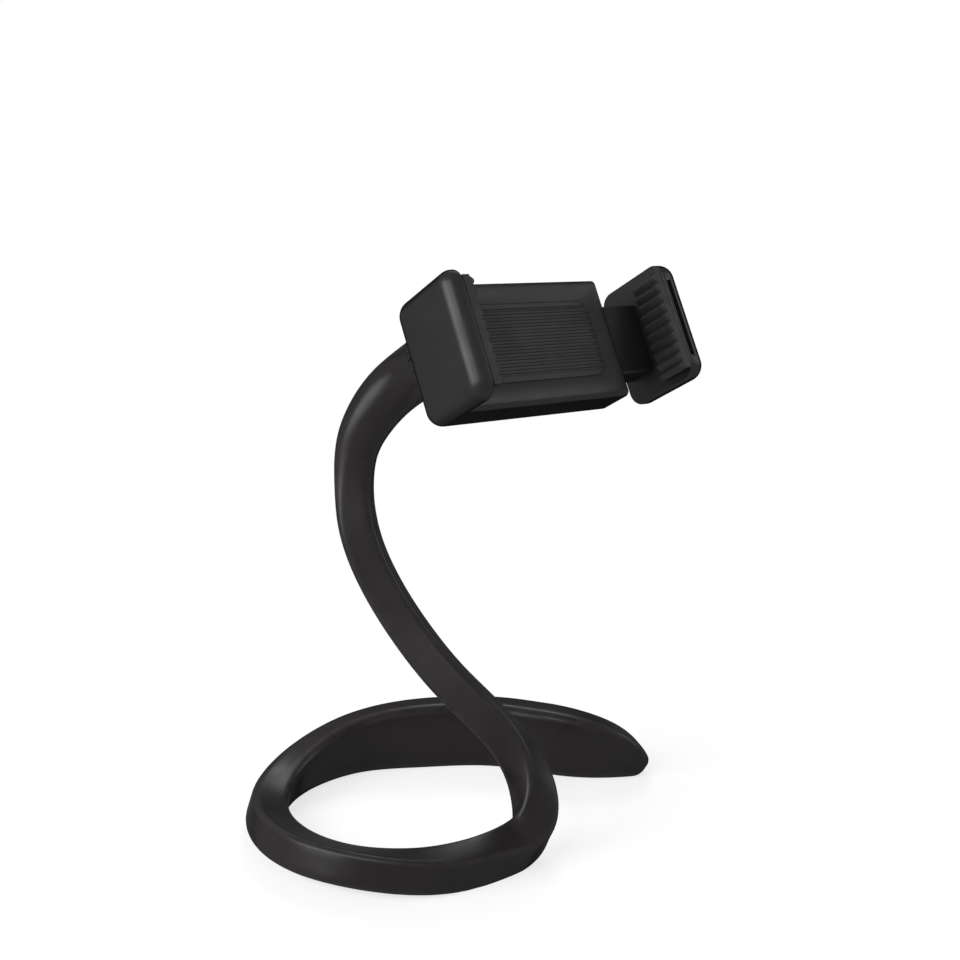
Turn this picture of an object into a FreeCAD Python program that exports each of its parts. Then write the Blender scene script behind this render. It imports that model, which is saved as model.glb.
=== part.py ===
import FreeCAD, Part
import math
import os

from FreeCAD import Placement, Rotation, Vector

# Bendable phone stand: one rubber-jacketed arm, coiled flat at its tail to make the foot,
# bowed upwards, with a sprung two-jaw clamp on a ball joint at its upper end.
# Millimetres. +Z is up, +X runs across the clamp, and the clamp faces -Y and leans back.

# Arm, coil and tail
COIL_RADIUS = 43.6
COIL_FIRST_DEG = 50.0
COIL_LAST_DEG = 274.0
COIL_STEPS = 8
# The strip leans inwards on one side of the coil, between these directions
COIL_LEAN_DEG = 25.0
LEAN_RISE_DEG = (85.0, 155.0)
LEAN_FALL_DEG = (205.0, 272.0)
TAIL_HEIGHT = 23.0
TAIL_EASE_FROM_DEG = 40.0
TAIL_EASE_TO_DEG = 152.0
TAIL_TIP_LENGTH = 38.0
TAIL_TIP_ROUNDING = 6.0
TAIL_TIP_SECTIONS = 7
TAIL_UNDERSIDE_RADIUS = 8.0
ARM_HEIGHT = 10.0
COIL_THICKNESS = 12.0
BOW_THICKNESS = 10.0
BOW_HEIGHT = 11.5
ARM_EDGE_RADIUS = 1.6
# The strip is built this much too deep, and cut off level at the floor
FOOT_TRIM = 1.2
# Plan places of the coil's middle and of the tail from its tip to the coil, as shares of the coil's radius
COIL_MIDDLE = (-0.078, 0.012)
TAIL_ROUTE = [(1.947, -0.459), (1.716, -0.342), (1.532, -0.216), (1.362, -0.03), (1.106, 0.378)]

# Arm, upright bow: centre line above the coil, as shares of the coil's radius in plan and of the clamp's height
BOW_ROUTE = [
    (0.271, -0.982, 0.0545),
    (0.383, -0.878, 0.109),
    (0.288, -0.603, 0.224),
    (0.116, -0.271, 0.308),
    (0.002, 0.004, 0.385),
    (-0.112, 0.265, 0.487),
    (-0.172, 0.436, 0.59),
    (-0.149, 0.528, 0.686),
    (-0.103, 0.539, 0.756),
    (-0.022, 0.482, 0.814),
    (0.102, 0.358, 0.872),
]
# Turn of the strip about its own line, between two distances from the coil's end
TWIST_DEG = 103.0
TWIST_START = -8.0
TWIST_END = 50.0
NECK_DIAMETER = 18.0
NECK_EASE_FROM_Z = 98.0
NECK_EASE_TO_Z = 146.0
NECK_STRAIGHT = 10.0
NECK_GAP = 1.0
BOW_FULL_Z = 45.0
SECTION_STEP = 24.0
SECTION_TURN_DEG = 18.0
# Sections where the strip leaves the floor, by distance from the coil's end
LIFT_SECTIONS = (-9.0, 0.0, 4.0)
LIFT_SPACING = 3.0

# Bendable core wire inside the jacket
CORE_DIAMETER = 4.0
CORE_TAIL_MARGIN = 30.0
CORE_RUN = 20.0
CORE_STRAIGHT = 11.0
CORE_BEND_SHARE = 0.45
BOND_CLEARANCE = 0.05
GLUE_LINE = 0.3
OVERCUT = 1.0

# Clamp place and lean
CLAMP_X = 32.5
CLAMP_Y = -36.0
CLAMP_Z = 156.0
CLAMP_LEAN_DEG = 26.7

# Clamp sizes: the local frame has x across, y to the back, z up, and y = 0 where the jaws' lips end
JAW_OPENING = 71.5
JAW_OPENING_MIN = 56.0
JAW_OPENING_MAX = 86.0
JAW_HEIGHT = 38.0
FIXED_JAW_THICKNESS = 7.8
SLIDING_JAW_THICKNESS = 9.2
JAW_FRONT_CORNER = 5.0
JAW_BACK_CORNER = 5.0
JAW_SIDE_ROUNDING = 4.4
JAW_INNER_ROUNDING = 0.8
LIP_FRONT = 4.6
REST_DEPTH = 8.0
REST_CORNER = 1.8
HOUSING_BACK = 24.6
HOUSING_RIGHT = 22.0
HOUSING_WALL = 2.4
CAVITY_HEIGHT = 22.0
CAVITY_LEFT = -37.0

# Ribbed grip pads of the jaws
PAD_BASE = 1.2
PAD_RIB = 1.1
PAD_PITCH = 3.2
PAD_RIBS = 10
PAD_MARGIN = 0.4
PAD_HOOK = 1.2
PAD_HOOK_REAR = 2.0
# Slot in the sliding jaw's front, beside its pad
SLOT_WIDTH = 1.6
SLOT_LENGTH = 25.0
SLOT_DEPTH = 1.8
SLOT_OFFSET = 1.7

# Rubber sheet on the rest face
REST_PAD_LENGTH = 44.0
REST_PAD_HEIGHT = 24.0
REST_PAD_THICKNESS = 1.4
REST_PAD_SUNK = 0.8
REST_PAD_CORNER = 4.0

# Sliding tongue
TONGUE_LENGTH = 52.0
TONGUE_WALL = 1.8
SLIDE_CLEARANCE = 0.25

# Rear cover with its screws
COVER_THICKNESS = 2.4
COVER_HEIGHT = 28.0
COVER_SIDE_RIM = 4.6
COVER_CLEARANCE = 0.1
SCREW_HEAD_DIAMETER = 3.0
SCREW_HEAD_DEPTH = 1.2
SCREW_SHANK_DIAMETER = 1.7
SCREW_LENGTH = 8.0
SCREW_SIDE_INSET = 4.0

# Springs and their pins
SPRING_DIAMETER = 4.4
SPRING_WIRE = 0.7
SPRING_Z = 4.6
SPRING_HOOK_LENGTH = 6.0
PIN_DIAMETER = 2.2
FIXED_PIN_INSET = 3.0
SLIDING_PIN_INSET = 3.0

# Ball joint between arm and clamp, on an axis square to the clamp's back
BALL_DIAMETER = 13.0
BALL_CLEARANCE = 0.25
BALL_STANDOFF = 5.5
BALL_ACROSS = -25.0
BALL_UP = 7.0
STUD_NECK_DIAMETER = 6.0
STUD_FLANGE_DIAMETER = 14.0
STUD_FLANGE_THICKNESS = 1.6
STUD_FLANGE_STANDOFF = 12.4
STUD_SPIGOT_DIAMETER = 9.0
STUD_SPIGOT_LENGTH = 5.5
CUP_DIAMETER = 18.4
CUP_HEIGHT = 6.4
CUP_END_GAP = 0.3
RING_DIAMETER = 22.4
RING_START = 0.8
RING_END = 9.6
RING_MOUTH_DIAMETER = 9.8
RING_CLEARANCE = 0.08
RING_GRIPS = 12
RING_GRIP_DEPTH = 0.7
RING_GRIP_RADIUS = 2.0
RING_EDGE_RADIUS = 0.8

# Worked-out places in the clamp's own frame
HALF_OPEN = JAW_OPENING / 2.0
JAW_INNER = HALF_OPEN + PAD_BASE + PAD_RIB
FIXED_OUTER = -HALF_OPEN - FIXED_JAW_THICKNESS
SLIDING_OUTER = HALF_OPEN + SLIDING_JAW_THICKNESS
HALF_JAW = JAW_HEIGHT / 2.0
CAVITY_FRONT = REST_DEPTH + HOUSING_WALL
CAVITY_BACK = HOUSING_BACK - COVER_THICKNESS
HALF_CAVITY = CAVITY_HEIGHT / 2.0
COVER_LEFT = FIXED_OUTER + COVER_SIDE_RIM
COVER_RIGHT = HOUSING_RIGHT - COVER_SIDE_RIM
HALF_COVER = COVER_HEIGHT / 2.0
SCREW_Z = (HALF_CAVITY + HALF_COVER) / 2.0
SPRING_Y = (CAVITY_FRONT + CAVITY_BACK) / 2.0
FIXED_PIN_X = CAVITY_LEFT + FIXED_PIN_INSET
SLIDING_PIN_X = HALF_OPEN - SLIDING_PIN_INSET
TRAVEL_OUT = JAW_OPENING_MAX - JAW_OPENING
TRAVEL_IN = JAW_OPENING - JAW_OPENING_MIN

CLAMP_PLACE = Placement(Vector(CLAMP_X, CLAMP_Y, CLAMP_Z), Rotation(Vector(1, 0, 0), -CLAMP_LEAN_DEG))
BACKWARD = CLAMP_PLACE.Rotation.multVec(Vector(0, 1, 0))


def ball_axis_point(standoff):
    """Point on the ball joint's axis, in the clamp's frame, that far behind the housing."""
    return Vector(BALL_ACROSS, HOUSING_BACK + standoff, BALL_UP)


FLANGE_BACK = STUD_FLANGE_STANDOFF + STUD_FLANGE_THICKNESS
SPIGOT_BACK = FLANGE_BACK + STUD_SPIGOT_LENGTH
NECK_STANDOFF = RING_END + NECK_GAP
NECK_END = CLAMP_PLACE.multVec(ball_axis_point(NECK_STANDOFF))
CORE_STANDOFF = FLANGE_BACK + GLUE_LINE
CORE_END = CLAMP_PLACE.multVec(ball_axis_point(CORE_STANDOFF))


def ease(value, low, high):
    """0 at low, 1 at high, with a smooth start and stop."""
    share = min(1.0, max(0.0, (value - low) / (high - low)))
    return (1.0 - math.cos(math.pi * share)) / 2.0


def blend(start, end, share):
    return start + (end - start) * share


def coil_height(degrees):
    """Height of the strip round the coil: tall at the tail, plain further on."""
    return blend(TAIL_HEIGHT, ARM_HEIGHT, ease(degrees, TAIL_EASE_FROM_DEG, TAIL_EASE_TO_DEG))


def rounded_wire(width, height, radius):
    """Rounded rectangle about the origin in the XY plane, always in the same edge order."""
    w, h = width / 2.0, height / 2.0
    r = min(radius, w - 0.05, h - 0.05)
    k = r * math.sqrt(0.5)
    edges = []
    for turn in range(4):
        spin = Rotation(Vector(0, 0, 1), 90.0 * turn)
        a, b = (w, h) if turn % 2 == 0 else (h, w)
        points = [Vector(a, r - b, 0), Vector(a, b - r, 0), Vector(a - r + k, b - r + k, 0), Vector(a - r, b, 0)]
        side, corner, middle, end = [spin.multVec(p) for p in points]
        edges.append(Part.makeLine(side, corner))
        edges.append(Part.Arc(corner, middle, end).toShape())
    return Part.Wire(edges)


def side_prism(corners, left, right):
    """Prism along x whose outline in the YZ plane has these (y, z, corner radius) points."""
    joins = []
    count = len(corners)
    for i, (y, z, radius) in enumerate(corners):
        here = Vector(left, y, z)
        to_before = (Vector(left, *corners[i - 1][:2]) - here).normalize()
        to_after = (Vector(left, *corners[(i + 1) % count][:2]) - here).normalize()
        half = to_before.getAngle(to_after) / 2.0
        reach = radius / math.tan(half)
        nearest = here + (to_before + to_after).normalize() * (radius / math.sin(half) - radius)
        joins.append((here + to_before * reach, nearest, here + to_after * reach))
    edges = []
    for i, (start, nearest, end) in enumerate(joins):
        edges.append(Part.Arc(start, nearest, end).toShape())
        edges.append(Part.makeLine(end, joins[(i + 1) % count][0]))
    return Part.Face(Part.Wire(edges)).extrude(Vector(right - left, 0, 0))


def round_rim(solid, x, radius):
    """Round every edge that lies in the plane at this x."""
    rim = [e for e in solid.Edges if abs(e.BoundBox.XMin - x) < 1e-6 and abs(e.BoundBox.XMax - x) < 1e-6]
    return solid.makeFillet(radius, rim)


def block(x0, x1, y0, y1, z0, z1):
    return Part.makeBox(x1 - x0, y1 - y0, z1 - z0, Vector(x0, y0, z0))


def ball_cylinder(diameter, start, end):
    """Cylinder on the ball joint's axis between two standoffs behind the housing."""
    return Part.makeCylinder(diameter / 2.0, end - start, ball_axis_point(start), Vector(0, 1, 0))


def ball_sphere(clearance):
    return Part.makeSphere(BALL_DIAMETER / 2.0 + clearance, ball_axis_point(BALL_STANDOFF))


# Arm

def coil_middle():
    return Vector(COIL_RADIUS * COIL_MIDDLE[0], COIL_RADIUS * COIL_MIDDLE[1], 0)


def coil_point(degrees):
    """Point of the coil's centre line in this direction from its middle."""
    spoke = Rotation(Vector(0, 0, 1), degrees).multVec(Vector(COIL_RADIUS, 0, 0))
    return coil_middle() + spoke + Vector(0, 0, coil_height(degrees) / 2.0)


def arm_route():
    """Centre line from the tail's tip to the ball stud as one smooth curve, and its parameter at the coil's end."""
    points = [Vector(COIL_RADIUS * x, COIL_RADIUS * y, TAIL_HEIGHT / 2.0) for x, y in TAIL_ROUTE]
    step = (COIL_LAST_DEG - COIL_FIRST_DEG) / COIL_STEPS
    points += [coil_point(COIL_FIRST_DEG + step * i) for i in range(COIL_STEPS + 1)]
    last_coil_knot = len(points)
    points += [Vector(COIL_RADIUS * x, COIL_RADIUS * y, CLAMP_Z * z) for x, y, z in BOW_ROUTE]
    points += [NECK_END + BACKWARD * NECK_STRAIGHT, NECK_END]
    curve = Part.BSplineCurve()
    curve.interpolate(points)
    return curve, curve.getKnot(last_coil_knot)


def round_end(distance, length):
    """Share of the full size at this distance from a rounded end."""
    share = min(1.0, distance / length)
    return math.sqrt(1.0 - (1.0 - share) ** 2)


def section_distances(curve, coil_length):
    """Distances from the tail's tip: close at its rounded end, then closer where the arm bends more or lifts."""
    shares = [(i + 0.5) / TAIL_TIP_SECTIONS for i in range(TAIL_TIP_SECTIONS)]
    distances = [TAIL_TIP_LENGTH * share ** 2 for share in shares]
    whole = curve.length()
    walked = distances[-1]
    start = curve.FirstParameter
    heading = Vector(*curve.tangent(curve.parameterAtDistance(walked, start))[0])
    while walked < whole - SECTION_STEP / 2.0:
        walked += 1.0
        now = Vector(*curve.tangent(curve.parameterAtDistance(walked, start))[0])
        if walked - distances[-1] >= SECTION_STEP or math.degrees(heading.getAngle(now)) >= SECTION_TURN_DEG:
            distances.append(walked)
            heading = now
    lift = [coil_length + offset for offset in LIFT_SECTIONS]
    kept = [d for d in distances if min(abs(d - place) for place in lift) > LIFT_SPACING]
    return sorted(kept + lift) + [whole]


def floor_section(centre, distance):
    """Width, height and lean of the strip where it lies on the floor."""
    spoke = centre - coil_middle()
    degrees = math.degrees(math.atan2(spoke.y, spoke.x)) % 360.0
    on_tail = degrees > COIL_LAST_DEG
    height = TAIL_HEIGHT if on_tail else coil_height(degrees)
    lean = 0.0 if on_tail else COIL_LEAN_DEG * (ease(degrees, *LEAN_RISE_DEG) - ease(degrees, *LEAN_FALL_DEG))
    width = COIL_THICKNESS * round_end(distance, TAIL_TIP_ROUNDING)
    return width, height * round_end(distance, TAIL_TIP_LENGTH) + FOOT_TRIM, lean


def resting_height(width, height, edge, lean):
    """Height of a leaning rounded rectangle's middle when its lowest point is at zero."""
    turn = math.radians(lean)
    edge = min(edge, width / 2.0, height / 2.0)
    return (height / 2.0 - edge) * math.cos(turn) + (width / 2.0 - edge) * math.sin(abs(turn)) + edge


def bow_section(centre):
    """Width, height and edge radius of the strip in the bow: square and crisp below, round at the neck."""
    share = ease(centre.z, NECK_EASE_FROM_Z, NECK_EASE_TO_Z)
    risen = ease(centre.z, ARM_HEIGHT, BOW_FULL_Z)
    width = blend(COIL_THICKNESS, BOW_THICKNESS, risen)
    height = blend(ARM_HEIGHT, BOW_HEIGHT, risen)
    return (blend(width, NECK_DIAMETER, share), blend(height, NECK_DIAMETER, share),
            blend(ARM_EDGE_RADIUS, NECK_DIAMETER / 2.0, share))


def arm_sections():
    """Outlines of the jacket from tail to neck: upright on the floor, then carried along the bow and twisted."""
    curve, coil_end = arm_route()
    coil_length = curve.length(curve.FirstParameter, coil_end)
    distances = section_distances(curve, coil_length)
    heading, top = None, Vector(0, 0, 1)
    sections = []
    for distance in distances:
        at = curve.parameterAtDistance(distance, curve.FirstParameter)
        centre = curve.value(at)
        along = Vector(*curve.tangent(at)[0])
        roll = TWIST_DEG * ease(distance - coil_length, TWIST_START, TWIST_END)
        if at < coil_end:
            width, height, lean = floor_section(centre, distance)
            edge = ARM_EDGE_RADIUS
            roll -= lean
            centre.z = resting_height(width, height, edge, roll) - FOOT_TRIM
            along.z = 0.0
        else:
            width, height, edge = bow_section(centre)
            if distance == distances[-1]:
                along = BACKWARD * -1.0
            top = Rotation(heading, along).multVec(top)
        heading = along.normalize()
        side = Rotation(heading, roll).multVec(top)
        wire = rounded_wire(width, height, edge)
        wire.Placement = Placement(centre, Rotation(side.cross(heading), side, heading, "ZXY"))
        sections.append(wire)
    return sections


def core_path():
    """Straight runs with tangent arcs along the arm, from inside the tail into the stud's spigot."""
    curve = arm_route()[0]
    whole = curve.length() - (CORE_STANDOFF - NECK_STANDOFF) - CORE_STRAIGHT
    runs = int(round((whole - CORE_TAIL_MARGIN) / CORE_RUN))
    points = []
    for i in range(runs + 1):
        at = curve.parameterAtDistance(blend(CORE_TAIL_MARGIN, whole, i / runs), curve.FirstParameter)
        points.append(curve.value(at))
    points[-1] = CORE_END + BACKWARD * CORE_STRAIGHT
    points.append(CORE_END)
    edges = []
    last = points[0]
    for i in range(1, len(points) - 1):
        here = points[i]
        to_before = points[i - 1] - here
        to_after = points[i + 1] - here
        half = to_before.getAngle(to_after) / 2.0
        reach = CORE_BEND_SHARE * min(to_before.Length, to_after.Length)
        to_before.normalize()
        to_after.normalize()
        radius = reach * math.tan(half)
        nearest = here + (to_before + to_after).normalize() * (radius / math.sin(half) - radius)
        start = here + to_before * reach
        end = here + to_after * reach
        edges.append(Part.makeLine(last, start))
        edges.append(Part.Arc(start, nearest, end).toShape())
        last = end
    edges.append(Part.makeLine(last, points[-1]))
    return Part.Wire(edges)


def core_solid(diameter):
    path = core_path()
    start = path.Edges[0].Vertexes[0].Point
    along = path.Edges[0].Vertexes[1].Point - start
    circle = Part.Wire([Part.Circle(start, along, diameter / 2.0).toShape()])
    return Part.makeSolid(Part.makeShell(path.makePipe(Part.Face(circle)).Faces))


def tip_rounding():
    """Cutter that rounds the lower corner of the tail's tip."""
    curve = arm_route()[0]
    heading = Vector(*curve.tangent(curve.FirstParameter)[0])
    tip = curve.value(curve.FirstParameter)
    radius = TAIL_UNDERSIDE_RADIUS
    cutter = block(-OVERCUT, radius, -COIL_THICKNESS, COIL_THICKNESS, -OVERCUT, radius)
    axis_start = Vector(radius, -COIL_THICKNESS, radius)
    cutter = cutter.cut(Part.makeCylinder(radius, 2.0 * COIL_THICKNESS, axis_start, Vector(0, 1, 0)))
    cutter.Placement = Placement(Vector(tip.x, tip.y, 0), Rotation(Vector(1, 0, 0), Vector(heading.x, heading.y, 0)))
    return cutter


def stud_socket():
    """Space in the jacket's end for the stud's ball, neck, flange and spigot."""
    spaces = [(STUD_NECK_DIAMETER, NECK_STANDOFF - OVERCUT, STUD_FLANGE_STANDOFF),
              (STUD_FLANGE_DIAMETER, STUD_FLANGE_STANDOFF - GLUE_LINE, FLANGE_BACK + GLUE_LINE),
              (STUD_SPIGOT_DIAMETER, FLANGE_BACK, SPIGOT_BACK + GLUE_LINE)]
    cylinders = [ball_cylinder(diameter + 2.0 * GLUE_LINE, start, end) for diameter, start, end in spaces]
    socket = ball_sphere(GLUE_LINE).multiFuse(cylinders)
    socket.Placement = CLAMP_PLACE.multiply(socket.Placement)
    return socket


def arm_parts():
    """Rubber jacket moulded round its bendable core."""
    jacket = Part.makeLoft(arm_sections(), True, False)
    reach = 3.0 * COIL_RADIUS
    jacket = jacket.cut(block(-reach, reach, -reach, reach, -TAIL_HEIGHT, 0.0))
    jacket = jacket.cut(tip_rounding())
    jacket = jacket.cut(core_solid(CORE_DIAMETER + 2.0 * BOND_CLEARANCE))
    jacket = jacket.cut(stud_socket())
    return {"arm_jacket": jacket, "arm_core": core_solid(CORE_DIAMETER)}


# Ball joint

def ball_stud():
    """Ball, neck and flange in one, with a bored spigot that takes the core's end."""
    stud = ball_sphere(0.0)
    stud = stud.fuse(ball_cylinder(STUD_NECK_DIAMETER, BALL_STANDOFF, FLANGE_BACK))
    stud = stud.fuse(ball_cylinder(STUD_FLANGE_DIAMETER, STUD_FLANGE_STANDOFF, FLANGE_BACK))
    stud = stud.fuse(ball_cylinder(STUD_SPIGOT_DIAMETER, FLANGE_BACK, SPIGOT_BACK))
    bore = ball_cylinder(CORE_DIAMETER + 2.0 * GLUE_LINE, FLANGE_BACK, SPIGOT_BACK)
    return stud.cut(bore).removeSplitter()


def lock_ring():
    """Knurled ring over the cup that holds the ball in it."""
    ring = ball_cylinder(RING_DIAMETER, RING_START, RING_END)
    ring = ring.makeFillet(RING_EDGE_RADIUS, [e for e in ring.Edges if len(e.Vertexes) == 1])
    ring = ring.cut(ball_cylinder(CUP_DIAMETER + 2.0 * RING_CLEARANCE, RING_START, CUP_HEIGHT + CUP_END_GAP))
    ring = ring.cut(ball_sphere(BALL_CLEARANCE))
    ring = ring.cut(ball_cylinder(RING_MOUTH_DIAMETER, RING_START, RING_END))
    grip_distance = RING_DIAMETER / 2.0 + RING_GRIP_RADIUS - RING_GRIP_DEPTH
    for i in range(RING_GRIPS):
        angle = 2.0 * math.pi * i / RING_GRIPS
        foot = ball_axis_point(RING_START) + Vector(math.cos(angle), 0, math.sin(angle)) * grip_distance
        ring = ring.cut(Part.makeCylinder(RING_GRIP_RADIUS, RING_END - RING_START, foot, Vector(0, 1, 0)))
    return ring


# Clamp

def jaw_corners(front, front_corner):
    """Outline of a jaw or of the housing seen from its side."""
    return [(front, -HALF_JAW, front_corner), (HOUSING_BACK, -HALF_JAW, JAW_BACK_CORNER),
            (HOUSING_BACK, HALF_JAW, JAW_BACK_CORNER), (front, HALF_JAW, front_corner)]


def screw_places():
    """Screw axes in x and z, in the ledges above and below the cavity."""
    return [(x, z) for x in (COVER_LEFT + SCREW_SIDE_INSET, COVER_RIGHT - SCREW_SIDE_INSET)
            for z in (-SCREW_Z, SCREW_Z)]


def backward_cylinder(diameter, x, y0, y1, z):
    return Part.makeCylinder(diameter / 2.0, y1 - y0, Vector(x, y0, z), Vector(0, 1, 0))


def clamp_body():
    """Housing moulded in one with the left jaw, open at the back and at its right end."""
    jaw = side_prism(jaw_corners(-LIP_FRONT, JAW_FRONT_CORNER), FIXED_OUTER, -JAW_INNER)
    jaw = round_rim(round_rim(jaw, FIXED_OUTER, JAW_SIDE_ROUNDING), -JAW_INNER, JAW_INNER_ROUNDING)
    housing = side_prism(jaw_corners(REST_DEPTH, REST_CORNER), -JAW_INNER - JAW_INNER_ROUNDING, HOUSING_RIGHT)
    housing = round_rim(housing, HOUSING_RIGHT, JAW_INNER_ROUNDING)
    body = jaw.fuse(housing).removeSplitter()
    body = body.cut(block(CAVITY_LEFT, HOUSING_RIGHT + OVERCUT, CAVITY_FRONT, CAVITY_BACK, -HALF_CAVITY, HALF_CAVITY))
    body = body.cut(block(COVER_LEFT, COVER_RIGHT, CAVITY_BACK, HOUSING_BACK + OVERCUT, -HALF_COVER, HALF_COVER))
    for x, z in screw_places():
        body = body.cut(backward_cylinder(SCREW_SHANK_DIAMETER + 2.0 * BOND_CLEARANCE, x,
                                          HOUSING_BACK - SCREW_LENGTH - BOND_CLEARANCE, CAVITY_BACK, z))
    return body.cut(rest_pad(BOND_CLEARANCE))


def rear_cover():
    """Flush plate in the housing's back, with the cup of the ball joint."""
    gap = COVER_CLEARANCE
    cover = block(COVER_LEFT + gap, COVER_RIGHT - gap, CAVITY_BACK, HOUSING_BACK, gap - HALF_COVER, HALF_COVER - gap)
    cover = cover.fuse(ball_cylinder(CUP_DIAMETER, 0.0, CUP_HEIGHT)).removeSplitter()
    cover = cover.cut(ball_sphere(BALL_CLEARANCE))
    for x, z in screw_places():
        cover = cover.cut(backward_cylinder(SCREW_SHANK_DIAMETER + 2.0 * BOND_CLEARANCE, x, CAVITY_BACK - OVERCUT,
                                            HOUSING_BACK, z))
        cover = cover.cut(backward_cylinder(SCREW_HEAD_DIAMETER + 2.0 * gap, x, HOUSING_BACK - SCREW_HEAD_DEPTH,
                                            HOUSING_BACK + OVERCUT, z))
    return cover


def cover_screws():
    screws = []
    for x, z in screw_places():
        head_start = HOUSING_BACK - SCREW_HEAD_DEPTH
        shank = backward_cylinder(SCREW_SHANK_DIAMETER, x, HOUSING_BACK - SCREW_LENGTH, head_start, z)
        head = backward_cylinder(SCREW_HEAD_DIAMETER, x, head_start, HOUSING_BACK - COVER_CLEARANCE, z)
        screws.append(shank.fuse(head).removeSplitter())
    return Part.makeCompound(screws)


def rest_pad(clearance):
    """Rubber sheet let into the rest face between the jaws."""
    wire = rounded_wire(REST_PAD_LENGTH + 2 * clearance, REST_PAD_HEIGHT + 2 * clearance, REST_PAD_CORNER)
    sheet = Part.Face(wire).extrude(Vector(0, 0, REST_PAD_THICKNESS))
    middle = (HOUSING_RIGHT - HALF_OPEN) / 2.0
    sheet.Placement = Placement(Vector(middle, REST_DEPTH + REST_PAD_SUNK, 0), Rotation(Vector(1, 0, 0), 90))
    return sheet


def comb(side, tip, front, back):
    """Ribbed strip from the jaw's inner face to the ribs' tips at the given x."""
    valley = tip + PAD_RIB
    half = PAD_PITCH * PAD_RIBS / 2.0
    points = [(JAW_INNER, -half), (valley, -half)]
    for i in range(PAD_RIBS):
        low = -half + PAD_PITCH * i
        points += [(tip, low + 0.3 * PAD_PITCH), (tip, low + 0.55 * PAD_PITCH), (valley, low + 0.85 * PAD_PITCH)]
    points += [(valley, half), (JAW_INNER, half)]
    wire = Part.makePolygon([Vector(side * x, front, z) for x, z in points + points[:1]])
    return Part.Face(wire).extrude(Vector(0, back - front, 0))


def jaw_pad(side):
    """Ribbed rubber strip on a jaw's inner face, with a low hook along its front; side is -1 for left, 1 for right."""
    front = PAD_MARGIN - LIP_FRONT
    strip = comb(side, HALF_OPEN, front, REST_DEPTH - PAD_MARGIN)
    hook = comb(side, HALF_OPEN - PAD_HOOK, front, -PAD_HOOK_REAR)
    return strip.fuse(hook).removeSplitter()


def sliding_jaw():
    """Right jaw moulded in one with the hollow tongue that runs in the housing."""
    jaw = side_prism(jaw_corners(-LIP_FRONT, JAW_FRONT_CORNER), JAW_INNER, SLIDING_OUTER)
    jaw = round_rim(round_rim(jaw, SLIDING_OUTER, JAW_SIDE_ROUNDING), JAW_INNER, JAW_INNER_ROUNDING)
    slot = Part.Face(rounded_wire(SLOT_WIDTH, SLOT_LENGTH, SLOT_WIDTH / 2.0)).extrude(Vector(0, 0, SLOT_DEPTH))
    slot.Placement = Placement(Vector(JAW_INNER + SLOT_OFFSET, SLOT_DEPTH - LIP_FRONT, 0), Rotation(Vector(1, 0, 0), 90))
    jaw = jaw.cut(slot)
    gap = SLIDE_CLEARANCE
    front, back, half = CAVITY_FRONT + gap, CAVITY_BACK - gap, HALF_CAVITY - gap
    left = HALF_OPEN - TONGUE_LENGTH
    wall = TONGUE_WALL
    jaw = jaw.fuse(block(left, JAW_INNER + OVERCUT, front, back, -half, half))
    jaw = jaw.cut(block(left - OVERCUT, JAW_INNER - OVERCUT, front + wall, back - wall, -half + wall, half - wall))
    return jaw.removeSplitter()


def spring(height):
    """Extension spring between the two pins: close-wound body as a sleeve, with a flat eye at each end."""
    start, end = FIXED_PIN_X + SPRING_HOOK_LENGTH, SLIDING_PIN_X - SPRING_HOOK_LENGTH
    along = Vector(1, 0, 0)
    outer = SPRING_DIAMETER / 2.0
    body = Part.makeCylinder(outer, end - start, Vector(start, SPRING_Y, height), along)
    body = body.cut(Part.makeCylinder(outer - SPRING_WIRE, end - start - 2.0 * SPRING_WIRE,
                                      Vector(start + SPRING_WIRE, SPRING_Y, height), along))
    half = SPRING_WIRE / 2.0
    hole = PIN_DIAMETER / 2.0 + BOND_CLEARANCE
    for pin, reach in ((FIXED_PIN_X, start), (SLIDING_PIN_X, end)):
        foot = Vector(pin, SPRING_Y, height - half)
        hook = Part.makeCylinder(hole + SPRING_WIRE, SPRING_WIRE, foot)
        hook = hook.fuse(block(min(pin, reach), max(pin, reach), SPRING_Y - half, SPRING_Y + half,
                               height - half, height + half))
        body = body.fuse(hook.cut(Part.makeCylinder(hole, SPRING_WIRE, foot)))
    return body.removeSplitter()


def spring_pin(x, half):
    return Part.makeCylinder(PIN_DIAMETER / 2.0, 2.0 * half, Vector(x, SPRING_Y, -half), Vector(0, 0, 1))


def clamp_parts():
    tongue_inside = HALF_CAVITY - SLIDE_CLEARANCE - TONGUE_WALL
    return {
        "ball_stud": ball_stud(),
        "lock_ring": lock_ring(),
        "clamp_body": clamp_body(),
        "rear_cover": rear_cover(),
        "cover_screws": cover_screws(),
        "rest_pad": rest_pad(0.0),
        "fixed_jaw_pad": jaw_pad(-1),
        "fixed_spring_pin": spring_pin(FIXED_PIN_X, HALF_CAVITY),
        "upper_spring": spring(SPRING_Z),
        "lower_spring": spring(-SPRING_Z),
        "sliding_jaw": sliding_jaw(),
        "sliding_jaw_pad": jaw_pad(1),
        "sliding_spring_pin": spring_pin(SLIDING_PIN_X, tongue_inside),
    }


def all_parts():
    parts = arm_parts()
    for name, shape in clamp_parts().items():
        shape.Placement = CLAMP_PLACE.multiply(shape.Placement)
        parts[name] = shape
    return parts


def frame_shift(parts):
    """Move that puts the middle of the part's box over the origin."""
    box = Part.makeCompound(list(parts.values())).optimalBoundingBox(False)
    return Vector(-(box.XMin + box.XMax) / 2.0, -(box.YMin + box.YMax) / 2.0, 0)


PARTS = all_parts()
SHIFT = frame_shift(PARTS)
os.makedirs("parts", exist_ok=True)
for node, solid in PARTS.items():
    solid.translate(SHIFT)
    solid.exportStep("parts/" + node + ".step")
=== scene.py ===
import math

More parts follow.
